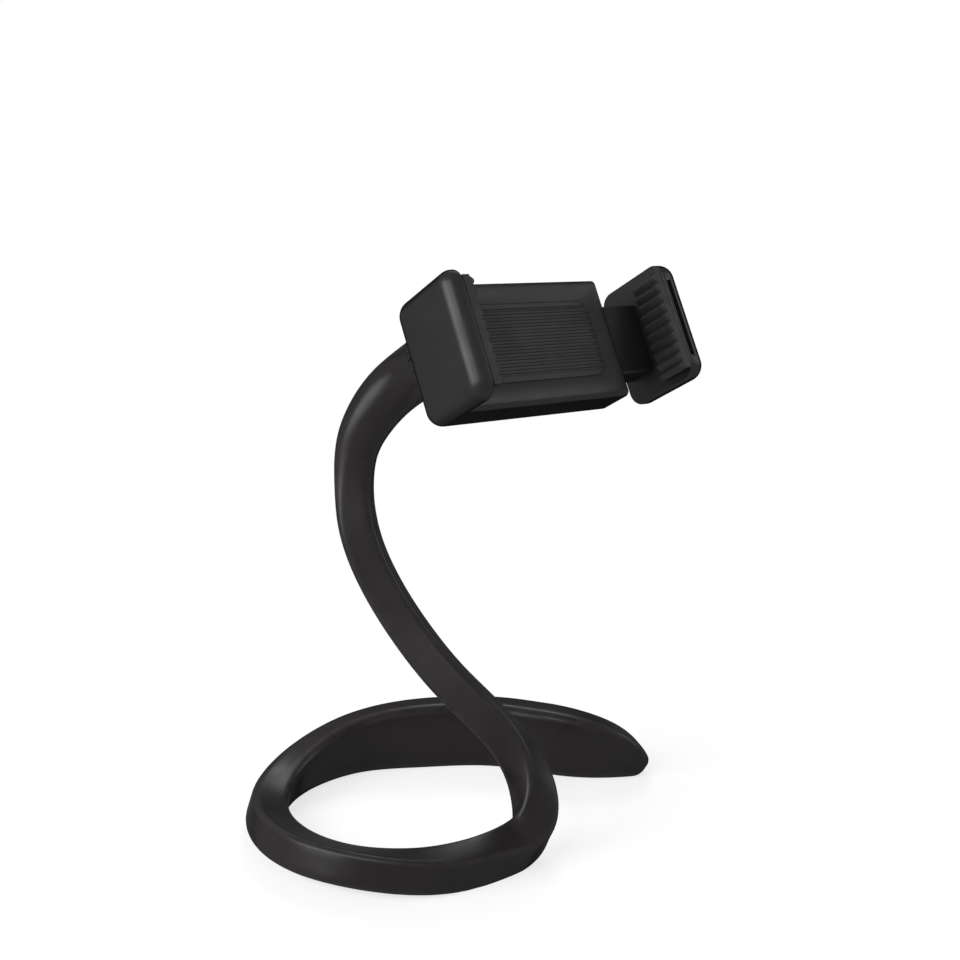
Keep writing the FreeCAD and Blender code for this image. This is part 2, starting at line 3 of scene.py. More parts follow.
import bmesh
import bpy
import numpy as np
from mathutils import Matrix, Vector


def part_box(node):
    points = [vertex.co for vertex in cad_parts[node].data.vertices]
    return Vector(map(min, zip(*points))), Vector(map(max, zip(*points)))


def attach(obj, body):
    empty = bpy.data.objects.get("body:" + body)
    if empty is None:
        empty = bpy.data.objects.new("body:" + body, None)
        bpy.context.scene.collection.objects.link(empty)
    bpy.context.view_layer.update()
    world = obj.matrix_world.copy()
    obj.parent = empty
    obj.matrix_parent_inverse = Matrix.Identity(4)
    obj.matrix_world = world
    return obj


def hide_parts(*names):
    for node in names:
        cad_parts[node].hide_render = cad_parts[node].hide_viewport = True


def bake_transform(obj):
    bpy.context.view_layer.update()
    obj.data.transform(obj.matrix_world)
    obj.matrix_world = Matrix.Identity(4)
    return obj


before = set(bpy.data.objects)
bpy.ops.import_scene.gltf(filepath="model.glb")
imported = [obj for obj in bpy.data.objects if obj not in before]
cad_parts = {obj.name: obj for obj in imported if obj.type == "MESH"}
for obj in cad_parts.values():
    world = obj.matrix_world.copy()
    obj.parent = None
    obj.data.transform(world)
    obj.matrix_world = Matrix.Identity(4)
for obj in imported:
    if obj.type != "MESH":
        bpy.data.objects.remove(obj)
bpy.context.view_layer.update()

# Lengths are millimetres in the plan frame, near the coil's middle, until place() turns them to metres.
MM = 0.001

# Arm. Routes are shares of the coil's radius, and their heights shares of the clamp's height.
COIL_RADIUS = 43.6
COIL_MIDDLE = (-0.078, 0.012)
COIL_FIRST_DEG = 50.0
COIL_LAST_DEG = 274.0
COIL_STEPS = 8
COIL_LEAN_DEG = 25.0
LEAN_RISE_DEG = (85.0, 155.0)
LEAN_FALL_DEG = (205.0, 272.0)
TAIL_ROUTE = [(1.947, -0.459), (1.716, -0.342), (1.532, -0.216), (1.362, -0.03), (1.106, 0.378)]
TAIL_HEIGHT = 23.0
TAIL_EASE_DEG = (40.0, 152.0)
TAIL_TIP_LENGTH = 38.0
TAIL_TIP_ROUNDING = 6.0
TAIL_UNDERSIDE_RADIUS = 8.0
ARM_HEIGHT = 10.0
COIL_THICKNESS = 12.0
BOW_THICKNESS = 10.0
ARM_EDGE_RADIUS = 1.6
LEAST_EDGE_RADIUS = 0.01
TAIL_EDGE_RADIUS = 3.0
TAIL_EDGE_DEG = (120.0, 190.0)
BOW_EDGE_RADIUS = 2.2
FOOT_TRIM = 0.25
BOW_ROUTE = [
    (0.271, -0.982, 0.0545),
    (0.383, -0.878, 0.109),
    (0.288, -0.603, 0.224),
    (0.116, -0.271, 0.308),
    (0.002, 0.004, 0.385),
    (-0.112, 0.265, 0.487),
    (-0.172, 0.436, 0.59),
    (-0.149, 0.528, 0.686),
    (-0.103, 0.539, 0.756),
    (-0.022, 0.482, 0.814),
    (0.102, 0.358, 0.872),
]
BOW_HEIGHT = 11.5
BOW_FULL_Z = 45.0
NECK_DIAMETER = 18.0
NECK_EASE_Z = (98.0, 146.0)
NECK_ROUND_Z = (90.0, 138.0)
NECK_STRAIGHT = 10.0
NECK_RIM = 1.6
# Socket for the stud in the neck's end: radius and distance inwards from the end
NECK_SOCKET = [(3.3, 0.0), (3.3, 1.5), (7.3, 1.5), (7.3, 3.7), (4.8, 3.7), (4.8, 9.2)]
# Turn of the strip about its own line, between two distances from the coil's end
TWIST_DEG = 103.0
TWIST_SPAN = (-8.0, 50.0)
# Bendable wire inside the arm
CORE_DIAMETER = 4.0
CORE_TAIL_MARGIN = 30.0
CORE_STEP = 2.0
CORE_SIDES = 16
CORE_STANDOFF = 14.3

# Density of the arm's mesh
LINE_STEP = 0.1
STATION_STEP = 1.0
TIP_STATIONS = 26
TIP_FIRST_SHARE = 0.3
TIP_SEARCH_STEP = 0.01
RIM_STATIONS = 6
FLAT_STEPS = 4
CORNER_STEPS = 6
LEAST_FLAT = 0.25
SMOOTHING = 4.0
SMOOTHING_REACH = 6.0 * SMOOTHING

# Clamp, in its own frame: x across, y to the back, z up
CLAMP_PLACE = (32.5, -36.0, 156.0)
CLAMP_LEAN_DEG = 26.7
HOUSING_BACK = 24.6
BALL_ACROSS = -25.0
BALL_UP = 7.0
BALL_STANDOFF = 5.5
BALL_DIAMETER = 13.0
NECK_STANDOFF = 10.6
SPRING_ENDS = (-34.0, 32.75)
SPRING_Y = 16.3
SPRING_Z = 4.6
SPRING_DIAMETER = 4.4
SPRING_WIRE = 0.7
SPRING_HOOK_LENGTH = 6.0
SPRING_TURNS = 34
SPRING_START_TURN = 0.75
SPRING_EYE_PLAY = 0.05
FIXED_EYE_DEG = (70.0, 340.0)
SLIDING_EYE_DEG = (200.0, 470.0)
PIN_DIAMETER = 2.2
SPRING_SIDES = 8
TURN_STEPS = 16
SCREW_X = (-34.95, 13.4)
SCREW_Z = (-12.5, 12.5)
SCREW_HEAD_RADIUS = 1.5
SCREW_HEAD_DEPTH = 1.2
SCREW_SUNK = 0.1
SCREW_SHANK_RADIUS = 0.85
SCREW_LENGTH = 8.0
SCREW_CHAMFER = 0.2
CROSS_REACH = 0.95
CROSS_HALF_WIDTH = 0.22
CROSS_DEPTH = 0.7
CROSS_TAPER = 0.8
ROUND_STEPS = 48
REST_FACE_Y = 8.0
REST_PAD_MIDDLE = -6.875
REST_PAD_HALF_LENGTH = 22.0
REST_PAD_HALF_HEIGHT = 12.0
REST_PAD_CORNER = 4.0
REST_PAD_PROUD = 0.6
REST_PAD_SUNK = 0.8
REST_RIB_HEIGHT = 0.35
REST_RIB_PITCH = 2.0
REST_RIB_END = 2.2
REST_RIB_RUN_OUT = 0.7
REST_RIB_FLANK = (-0.5, 0.6)
REST_EDGE_DROP = 0.2
REST_EDGE_WIDTH = 0.4
REST_ROWS = 192
REST_COLUMNS = 44

# Camera, from the photograph
CAMERA_PLACE = (-208.9, -303.6, 181.3)
CAMERA_TURN_DEG = 37.7
CAMERA_PITCH_DEG = 11.0
IMAGE_PIXELS = 960.0
FOCAL_PIXELS = 1237.0
SENSOR_MM = 36.0
CLIP_START = 0.01

# Mesh edges: where shading breaks, and where a bevel softens a carried-over solid
SHARP_DEG = 32.0
RIB_SHARP_DEG = 50.0
BEVEL_FROM_DEG = 38.0
BEVEL_SEGMENTS = 3
WELD_DISTANCE = 0.002

# Textures: noise as scale per metre and detail, and the range that most of its values lie in
NOISE_RANGE = (0.3, 0.7)
COLOUR_CLOUDS = (55.0, 4.0)
GLOSS_CLOUDS = (140.0, 3.0)
WEAR_CLOUDS = (220.0, 3.0)
METAL_COLOUR_CLOUDS = (250.0, 3.0)
METAL_GLOSS_CLOUDS = (400.0, 4.0)
GRAIN_DETAIL = 2.0
GRAIN_STRENGTH = 0.5
METAL_GRAIN_DEPTH = 0.02
METAL_GRAIN_STRENGTH = 0.3
METAL_DARK_SHARE = 0.8
METAL_SPECULAR = 0.5
WORN_COLOUR = (0.0212, 0.018, 0.0192)
WORN_SHARE = (0.1, 0.7)
ARM_SHEEN = 0.06
ARM_SHEEN_ROUGHNESS = 0.4
GLOSS_FADE_FACING = (0.1, 0.66)

# Stage, in metres. The floor is pure white beyond a distance, and keeps the shadow near the part.
WORLD_FILL = 0.35
FLOOR_HALF_SIZE = 3.0
FLOOR_CELLS = 8
FLOOR_GREY = 0.9
SHADOW_FADE = (0.06, 0.22)
WHITE_NEAR_PART = 0.72
# Name, place, aim, size and watts
LAMPS = [
    ("key_left", (-0.84, 0.12, 0.42), (0.0, 0.0, 0.11), (0.6, 0.55), 9.5),
    ("front_left", (-0.7, -0.32, 0.63), (0.0, 0.0, 0.15), (0.25, 0.3), 2.4),
    ("back_right", (0.43, 0.5, 0.61), (0.0, 0.0, 0.01), (0.35, 0.3), 3.5),
    ("fill_right", (0.76, -0.31, 0.46), (0.0, 0.0, 0.08), (0.3, 0.4), 1.6),
]

CLAMP_LEAN = math.radians(CLAMP_LEAN_DEG)
BACKWARD = np.array([0.0, math.cos(CLAMP_LEAN), -math.sin(CLAMP_LEAN)])
CLAMP_TURN = Matrix.Rotation(-CLAMP_LEAN, 3, "X")


def clamp_point(x, y, z):
    """Point of the clamp's own frame in the plan frame."""
    return CLAMP_TURN @ Vector((x, y, z)) + Vector(CLAMP_PLACE)


def plan_shift():
    """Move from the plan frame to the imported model's frame, from where the stud's ball is."""
    low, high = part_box("ball_stud")
    radius = BALL_DIAMETER / 2.0 * MM
    found = Vector(((low.x + high.x) / 2.0, low.y + radius, high.z - radius))
    return found - clamp_point(BALL_ACROSS, HOUSING_BACK + BALL_STANDOFF, BALL_UP) * MM


SHIFT = plan_shift()


def place(point):
    """Plan frame in millimetres to the model's frame in metres."""
    return Vector(point) * MM + SHIFT


# Shape helpers

def ease(value, low, high):
    """0 at low, 1 at high, with a smooth start and stop."""
    share = np.clip((value - low) / (high - low), 0.0, 1.0)
    return (1.0 - np.cos(math.pi * share)) / 2.0


def mix(start, end, share):
    return start + (end - start) * share


def round_end(distance, length):
    """Share of the full size at this distance from a rounded end."""
    share = np.clip(distance / length, 0.0, 1.0)
    return np.sqrt(1.0 - (1.0 - share) ** 2)


def spline_line(points, last_heading):
    """Dense points on the cubic spline through these points, and distances along it, also at each point."""
    points = np.array(points, float)
    count = len(points)
    gaps = np.linalg.norm(np.diff(points, axis=0), axis=1)
    knots = np.concatenate([[0.0], np.cumsum(gaps)])
    slopes = np.diff(points, axis=0) / gaps[:, None]
    system = np.zeros((count, count))
    right = np.zeros((count, 3))
    system[0, 0] = 1.0
    for i in range(1, count - 1):
        system[i, i - 1:i + 2] = gaps[i - 1], 2.0 * (gaps[i - 1] + gaps[i]), gaps[i]
        right[i] = 6.0 * (slopes[i] - slopes[i - 1])
    system[-1, -2:] = gaps[-1], 2.0 * gaps[-1]
    right[-1] = 6.0 * (last_heading - slopes[-1])
    bends = np.linalg.solve(system, right)
    at = np.append(np.arange(0.0, knots[-1], LINE_STEP), knots[-1])
    piece = np.clip(np.searchsorted(knots, at, side="right") - 1, 0, count - 2)
    gap = gaps[piece][:, None]
    late = ((at - knots[piece]) / gaps[piece])[:, None]
    early = 1.0 - late
    line = early * points[piece] + late * points[piece + 1]
    line += gap ** 2 / 6.0 * ((early ** 3 - early) * bends[piece] + (late ** 3 - late) * bends[piece + 1])
    along = np.concatenate([[0.0], np.cumsum(np.linalg.norm(np.diff(line, axis=0), axis=1))])
    return line, along, np.interp(knots, at, along)


def coil_height(degrees):
    return mix(TAIL_HEIGHT, ARM_HEIGHT, ease(degrees, *TAIL_EASE_DEG))


def arm_points():
    """Route of the arm's middle from the tail's tip to the stud, and how many points are on the floor."""
    middle = np.array(COIL_MIDDLE) * COIL_RADIUS
    points = [(COIL_RADIUS * x, COIL_RADIUS * y, TAIL_HEIGHT / 2.0) for x, y in TAIL_ROUTE]
    for i in range(COIL_STEPS + 1):
        degrees = mix(COIL_FIRST_DEG, COIL_LAST_DEG, i / COIL_STEPS)
        turn = math.radians(degrees)
        x = middle[0] + COIL_RADIUS * math.cos(turn)
        y = middle[1] + COIL_RADIUS * math.sin(turn)
        points.append((x, y, coil_height(degrees) / 2.0))
    on_floor = len(points)
    points += [(COIL_RADIUS * x, COIL_RADIUS * y, CLAMP_PLACE[2] * z) for x, y, z in BOW_ROUTE]
    end = np.array(clamp_point(BALL_ACROSS, HOUSING_BACK + NECK_STANDOFF, BALL_UP))
    points += [tuple(end + BACKWARD * NECK_STRAIGHT), tuple(end)]
    return points, on_floor


def profile(width, height, edge):
    """Rounded rectangle as (across, up, corner share) points, always the same number of them."""
    w, h = width / 2.0, height / 2.0
    r = max(LEAST_EDGE_RADIUS, min(edge, w - LEAST_FLAT, h - LEAST_FLAT))
    corners = ((w - r, h - r), (r - w, h - r), (r - w, r - h), (w - r, r - h))
    rows = []
    for i, (x, y) in enumerate(corners):
        for k in range(CORNER_STEPS + 1):
            turn = math.pi / 2.0 * (i + k / CORNER_STEPS)
            corner = math.sin(math.pi * k / CORNER_STEPS)
            rows.append((x + r * math.cos(turn), y + r * math.sin(turn), corner))
        after = corners[(i + 1) % 4]
        turn = math.pi / 2.0 * (i + 1)
        side = (r * math.cos(turn), r * math.sin(turn))
        for k in range(1, FLAT_STEPS):
            share = k / FLAT_STEPS
            rows.append((mix(x, after[0], share) + side[0], mix(y, after[1], share) + side[1], 0.0))
    return np.array(rows)


def tip_start():
    """Distance from the route's start at which the tail's top and its rounded underside meet."""
    distances = np.arange(0.0, TAIL_UNDERSIDE_RADIUS, TIP_SEARCH_STEP)
    tops = TAIL_HEIGHT * round_end(distances, TAIL_TIP_LENGTH)
    return distances[np.argmax(tops > underside(distances))]


def underside(distance):
    """Height of the tail's rounded lower edge above the floor."""
    inwards = TAIL_UNDERSIDE_RADIUS - np.minimum(distance, TAIL_UNDERSIDE_RADIUS)
    return TAIL_UNDERSIDE_RADIUS - np.sqrt(TAIL_UNDERSIDE_RADIUS ** 2 - inwards ** 2)


def resting_height(width, height, edge, lean):
    """Height of a leaning rounded rectangle's middle when its lowest point is at zero."""
    turn = math.radians(lean)
    edge = min(edge, width / 2.0, height / 2.0)
    return (height / 2.0 - edge) * math.cos(turn) + (width / 2.0 - edge) * math.sin(abs(turn)) + edge


def arm_stations():
    """Middle, heading, roll, width, height and edge radius at each station along the arm."""
    points, on_floor = arm_points()
    line, along, at_points = spline_line(points, -BACKWARD)
    coil_length = at_points[on_floor - 1]
    whole = along[-1]
    start = tip_start()
    tip = start + TAIL_TIP_LENGTH * ((np.arange(TIP_STATIONS) + TIP_FIRST_SHARE) / TIP_STATIONS) ** 2
    rim = whole - NECK_RIM * (1.0 - np.arange(RIM_STATIONS + 1) / RIM_STATIONS)
    run = np.arange(tip[-1] + STATION_STEP, rim[0] - STATION_STEP / 2.0, STATION_STEP)
    distances = np.concatenate([tip, run, rim])
    centres = np.stack([np.interp(distances, along, line[:, k]) for k in range(3)], axis=1)
    middle = np.array(COIL_MIDDLE) * COIL_RADIUS
    rows = []
    for distance, centre in zip(distances, centres):
        roll = TWIST_DEG * ease(distance - coil_length, *TWIST_SPAN)
        if distance < coil_length:
            spoke = math.degrees(math.atan2(centre[1] - middle[1], centre[0] - middle[0])) % 360.0
            on_tail = spoke > COIL_LAST_DEG
            width = COIL_THICKNESS * round_end(distance - start, TAIL_TIP_ROUNDING)
            top = (TAIL_HEIGHT if on_tail else coil_height(spoke)) * round_end(distance, TAIL_TIP_LENGTH)
            bottom = underside(distance)
            height = top - bottom
            edge = TAIL_EDGE_RADIUS
            if not on_tail:
                roll -= COIL_LEAN_DEG * (ease(spoke, *LEAN_RISE_DEG) - ease(spoke, *LEAN_FALL_DEG))
                edge = mix(TAIL_EDGE_RADIUS, ARM_EDGE_RADIUS, ease(spoke, *TAIL_EDGE_DEG))
            centre[2] = bottom + resting_height(width, height, edge, roll) - FOOT_TRIM
        else:
            share = ease(centre[2], *NECK_EASE_Z)
            risen = ease(centre[2], ARM_HEIGHT, BOW_FULL_Z)
            width = mix(mix(COIL_THICKNESS, BOW_THICKNESS, risen), NECK_DIAMETER, share)
            height = mix(mix(ARM_HEIGHT, BOW_HEIGHT, risen), NECK_DIAMETER, share)
            rounded = ease(centre[2], *NECK_ROUND_Z)
            edge = mix(mix(ARM_EDGE_RADIUS, BOW_EDGE_RADIUS, risen), NECK_DIAMETER / 2.0, rounded)
        rows.append((distance, roll, width, height, edge))
    rows = np.array(rows)
    near = np.abs(distances - coil_length) < SMOOTHING_REACH
    weights = np.exp(-0.5 * ((distances[near][:, None] - distances[None, :]) / SMOOTHING) ** 2)
    centres[near, 2] = weights @ centres[:, 2] / weights.sum(axis=1)
    return centres, rows, whole


def arm_mesh():
    """Rubber jacket of the arm as one closed skin, with the rounded edges marked for the material."""
    centres, rows, whole = arm_stations()
    headings = np.gradient(centres, rows[:, 0], axis=0)
    floor = rows[:, 0] < TAIL_TIP_LENGTH
    headings[floor, 2] = 0.0
    headings /= np.linalg.norm(headings, axis=1)[:, None]
    skin = bmesh.new()
    rim_layer = skin.verts.layers.float.new("rim")
    rings = []
    top = Vector((0.0, 0.0, 1.0))
    before = Vector(headings[0])
    for centre, heading, (distance, roll, width, height, edge) in zip(centres, headings, rows):
        heading = Vector(heading)
        top = before.rotation_difference(heading) @ top
        top = (top - heading * top.dot(heading)).normalized()
        before = heading
        left = whole - distance
        if left < NECK_RIM:
            inset = NECK_RIM - math.sqrt(max(0.0, NECK_RIM ** 2 - (NECK_RIM - left) ** 2))
            width -= 2.0 * inset
            height -= 2.0 * inset
        up = Matrix.Rotation(math.radians(roll), 3, heading) @ top
        across = up.cross(heading)
        round_share = ease(edge, ARM_EDGE_RADIUS, NECK_DIAMETER / 2.0)
        ring = []
        for x, y, corner in profile(width, height, edge):
            spot = Vector(centre) + across * x + up * y
            spot.z = max(spot.z, 0.0)
            vertex = skin.verts.new(place(spot))
            vertex[rim_layer] = corner * (1.0 - round_share)
            ring.append(vertex)
        rings.append(ring)
    neck_face = Vector(centres[-1])
    inwards = -Vector(headings[-1])
    rim_ring = rings[-1]
    for radius, depth in NECK_SOCKET:
        middle = place(neck_face + inwards * depth)
        spokes = [(v.co - place(neck_face)).normalized() for v in rim_ring]
        rings.append([skin.verts.new(middle + spoke * radius * MM) for spoke in spokes])
    close_rings(skin, rings)
    return skin


def new_piece(name, shape):
    mesh = bpy.data.meshes.new(name)
    shape.to_mesh(mesh)
    shape.free()
    mesh.shade_smooth()
    piece = bpy.data.objects.new(name, mesh)
    bpy.context.scene.collection.objects.link(piece)
    return piece


def tube_mesh(path, radius, sides):
    """Round tube along plan points, with closed ends."""
    path = np.array(path, float)
    headings = np.gradient(path, axis=0)
    headings /= np.linalg.norm(headings, axis=1)[:, None]
    shape = bmesh.new()
    before = Vector(headings[0])
    side = before.orthogonal().normalized()
    rings = []
    for spot, heading in zip(path, headings):
        heading = Vector(heading)
        side = before.rotation_difference(heading) @ side
        side = (side - heading * side.dot(heading)).normalized()
        before = heading
        other = heading.cross(side)
        ring = []
        for k in range(sides):
            turn = 2.0 * math.pi * k / sides
            spoke = side * math.cos(turn) + other * math.sin(turn)
            ring.append(shape.verts.new(place(Vector(spot) + spoke * radius)))
        rings.append(ring)
    close_rings(shape, rings)
    return shape


def bridge(shape, one, two):
    """Quads between two closed rings of points."""
    count = len(one)
    for i in range(count):
        j = (i + 1) % count
        shape.faces.new((one[i], one[j], two[j], two[i]))


def ring_edges(shape, ring):
    return [shape.edges.get((ring[i - 1], ring[i])) for i in range(len(ring))]


def close_rings(shape, rings):
    """Quads between neighbouring rings, and a face over each end."""
    for one, two in zip(rings, rings[1:]):
        bridge(shape, one, two)
    shape.faces.new(list(reversed(rings[0])))
    shape.faces.new(rings[-1])
    bmesh.ops.recalc_face_normals(shape, faces=shape.faces)


def core_path():
    """Middle of the bendable wire, from inside the tail into the stud's bored spigot."""
    line, along, _ = spline_line(arm_points()[0], -BACKWARD)
    whole = along[-1] - (CORE_STANDOFF - NECK_STANDOFF)
    distances = np.linspace(CORE_TAIL_MARGIN, whole, int((whole - CORE_TAIL_MARGIN) / CORE_STEP))
    return np.stack([np.interp(distances, along, line[:, k]) for k in range(3)], axis=1)


def spring_eye(pin_x, degrees, height):
    """Wire around one pin, between two angles."""
    radius = PIN_DIAMETER / 2.0 + SPRING_WIRE / 2.0 + SPRING_EYE_PLAY
    points = []
    for k in range(TURN_STEPS):
        turn = math.radians(mix(*degrees, k / (TURN_STEPS - 1)))
        points.append((pin_x + radius * math.cos(turn), SPRING_Y + radius * math.sin(turn), height))
    return points


def spring_path(height):
    """Wire of an extension spring between the two pins: an eye, a close coil and a second eye."""
    fixed_x, sliding_x = SPRING_ENDS
    radius = (SPRING_DIAMETER - SPRING_WIRE) / 2.0
    steps = SPRING_TURNS * TURN_STEPS
    coil = []
    for k in range(steps + 1):
        turn = 2.0 * math.pi * (SPRING_START_TURN + k / TURN_STEPS)
        x = mix(fixed_x + SPRING_HOOK_LENGTH, sliding_x - SPRING_HOOK_LENGTH, k / steps)
        coil.append((x, SPRING_Y + radius * math.sin(turn), height + radius * math.cos(turn)))
    path = spring_eye(fixed_x, FIXED_EYE_DEG, height) + coil + spring_eye(sliding_x, SLIDING_EYE_DEG, height)
    return [clamp_point(*spot) for spot in path]


def add_screw(shape, x, z):
    """One countersunk screw with a cross recess, in the clamp's back."""
    top = HOUSING_BACK - SCREW_SUNK
    under = HOUSING_BACK - SCREW_HEAD_DEPTH
    outline = [
        (SCREW_SHANK_RADIUS, HOUSING_BACK - SCREW_LENGTH),
        (SCREW_SHANK_RADIUS, under),
        (SCREW_HEAD_RADIUS, under),
        (SCREW_HEAD_RADIUS, top - SCREW_CHAMFER),
        (SCREW_HEAD_RADIUS - SCREW_CHAMFER, top),
    ]
    reach, half = CROSS_REACH, CROSS_HALF_WIDTH
    arm_end = [(reach, -half), (reach, half), (half, half)]
    cross = []
    for k in range(4):
        turn = Matrix.Rotation(math.pi / 2.0 * k, 2)
        cross += [turn @ Vector(point) for point in arm_end]

    def points_at(y, spots):
        return [shape.verts.new(place(clamp_point(x + a, y, z + b))) for a, b in spots]

    turns = [2.0 * math.pi * k / ROUND_STEPS for k in range(ROUND_STEPS)]
    rings = [points_at(y, [(r * math.cos(t), r * math.sin(t)) for t in turns]) for r, y in outline]
    for one, two in zip(rings, rings[1:]):
        bridge(shape, one, two)
    shape.faces.new(rings[0])
    mouth = points_at(top, cross)
    floor = points_at(top - CROSS_DEPTH, [point * CROSS_TAPER for point in cross])
    bridge(shape, mouth, floor)
    head_edges = ring_edges(shape, rings[-1]) + ring_edges(shape, mouth)
    bmesh.ops.triangle_fill(shape, edges=head_edges, use_beauty=True)
    shape.faces.new(floor)


def screw_mesh():
    """Four screws of the rear cover."""
    shape = bmesh.new()
    for x in SCREW_X:
        for z in SCREW_Z:
            add_screw(shape, x, z)
    bmesh.ops.recalc_face_normals(shape, faces=shape.faces)
    return shape


def rest_pad_mesh():
    """Rubber sheet in the rest face, with low round ribs across it."""
    shape = bmesh.new()
    rows = []
    for i in range(REST_ROWS + 1):
        z = mix(-REST_PAD_HALF_HEIGHT, REST_PAD_HALF_HEIGHT, i / REST_ROWS)
        over = max(0.0, abs(z) - (REST_PAD_HALF_HEIGHT - REST_PAD_CORNER))
        length = REST_PAD_HALF_LENGTH - REST_PAD_CORNER + math.sqrt(REST_PAD_CORNER ** 2 - over ** 2)
        row = []
        for k in range(REST_COLUMNS + 1):
            x = mix(-length, length, k / REST_COLUMNS)
            border = min(length - abs(x), REST_PAD_HALF_HEIGHT - abs(z))
            rib = ease(math.cos(2.0 * math.pi * z / REST_RIB_PITCH), *REST_RIB_FLANK)
            share = rib * ease(border, REST_RIB_END - REST_RIB_RUN_OUT, REST_RIB_END)
            round_off = REST_EDGE_DROP * (1.0 - round_end(border, REST_EDGE_WIDTH))
            y = REST_FACE_Y - REST_PAD_PROUD + REST_RIB_HEIGHT * (1.0 - share) + round_off
            row.append(shape.verts.new(place(clamp_point(REST_PAD_MIDDLE + x, y, z))))
        rows.append(row)
    for one, two in zip(rows, rows[1:]):
        for k in range(REST_COLUMNS):
            shape.faces.new((one[k], one[k + 1], two[k + 1], two[k]))
    border = rows[0] + [row[-1] for row in rows[1:]] + rows[-1][-2::-1] + [row[0] for row in rows[-2:0:-1]]
    back = Vector(BACKWARD) * (REST_PAD_PROUD + REST_PAD_SUNK - REST_RIB_HEIGHT) * MM
    rear = [shape.verts.new(v.co + back) for v in border]
    bridge(shape, border, rear)
    shape.faces.new(rear)
    bmesh.ops.recalc_face_normals(shape, faces=shape.faces)
    return shape


# Materials

def material(name, colour, roughness, specular):
    """Plain surface with these values; returns the material, its tree and its shader."""
    made = bpy.data.materials.new(name)
    made.use_nodes = True
    tree = made.node_tree
    shader = tree.nodes["Principled BSDF"]
    shader.inputs["Base Color"].default_value = (*colour, 1.0)
    shader.inputs["Roughness"].default_value = roughness
    shader.inputs["Specular IOR Level"].default_value = specular
    return made, tree, shader


def noise(tree, scale, detail):
    """Noise over the piece's own coordinates."""
    place_node = tree.nodes.new("ShaderNodeTexCoord")
    texture = tree.nodes.new("ShaderNodeTexNoise")
    texture.inputs["Scale"].default_value = scale
    texture.inputs["Detail"].default_value = detail
    tree.links.new(place_node.outputs["Object"], texture.inputs["Vector"])
    return texture.outputs["Fac"]


def spread(tree, value, low, high):
    """Noise values stretched to low...high."""
    node = tree.nodes.new("ShaderNodeMapRange")
    node.inputs["From Min"].default_value = NOISE_RANGE[0]
    node.inputs["From Max"].default_value = NOISE_RANGE[1]
    node.inputs["To Min"].default_value = low
    node.inputs["To Max"].default_value = high
    tree.links.new(value, node.inputs["Value"])
    return node.outputs["Result"]


def two_tone(tree, factor, dark, light):
    """Colour between two others; each is a colour or another node's output."""
    node = tree.nodes.new("ShaderNodeMix")
    node.data_type = "RGBA"
    for name, colour in (("A", dark), ("B", light)):
        if isinstance(colour, bpy.types.NodeSocket):
            tree.links.new(colour, node.inputs[name])
        else:
            node.inputs[name].default_value = (*colour, 1.0)
    tree.links.new(factor, node.inputs["Factor"])
    return node.outputs["Result"]


def grain(tree, shader, height, depth, strength):
    """Fine bumps of this depth."""
    bump = tree.nodes.new("ShaderNodeBump")
    bump.inputs["Distance"].default_value = depth * MM
    bump.inputs["Strength"].default_value = strength
    tree.links.new(height, bump.inputs["Height"])
    tree.links.new(bump.outputs["Normal"], shader.inputs["Normal"])


def dull_at_a_slant(tree, shader, specular):
    """Gloss that fades towards flat angles, as on a finely grained surface."""
    slant = tree.nodes.new("ShaderNodeLayerWeight")
    slant.inputs["Blend"].default_value = 0.5
    fade = tree.nodes.new("ShaderNodeMapRange")
    fade.interpolation_type = "SMOOTHSTEP"
    fade.inputs["From Min"].default_value = GLOSS_FADE_FACING[0]
    fade.inputs["From Max"].default_value = GLOSS_FADE_FACING[1]
    fade.inputs["To Min"].default_value = specular
    fade.inputs["To Max"].default_value = 0.0
    tree.links.new(slant.outputs["Facing"], fade.inputs["Value"])
    tree.links.new(fade.outputs["Result"], shader.inputs["Specular IOR Level"])


def moulded(name, dark, light, roughness, specular, grain_scale, grain_depth, worn=False):
    """Moulded rubber or plastic: cloudy colour and gloss, with a fine grain and, if asked, paler edges."""
    made, tree, shader = material(name, light, roughness[0], specular)
    colour = two_tone(tree, spread(tree, noise(tree, *COLOUR_CLOUDS), 0.0, 1.0), dark, light)
    if worn:
        rim = tree.nodes.new("ShaderNodeAttribute")
        rim.attribute_name = "rim"
        share = tree.nodes.new("ShaderNodeMath")
        share.operation = "MULTIPLY"
        tree.links.new(rim.outputs["Fac"], share.inputs[0])
        tree.links.new(spread(tree, noise(tree, *WEAR_CLOUDS), *WORN_SHARE), share.inputs[1])
        colour = two_tone(tree, share.outputs["Value"], colour, WORN_COLOUR)
        shader.inputs["Sheen Weight"].default_value = ARM_SHEEN
        shader.inputs["Sheen Roughness"].default_value = ARM_SHEEN_ROUGHNESS
    tree.links.new(colour, shader.inputs["Base Color"])
    tree.links.new(spread(tree, noise(tree, *GLOSS_CLOUDS), *roughness), shader.inputs["Roughness"])
    grain(tree, shader, noise(tree, grain_scale, GRAIN_DETAIL), grain_depth, GRAIN_STRENGTH)
    dull_at_a_slant(tree, shader, specular)
    return made


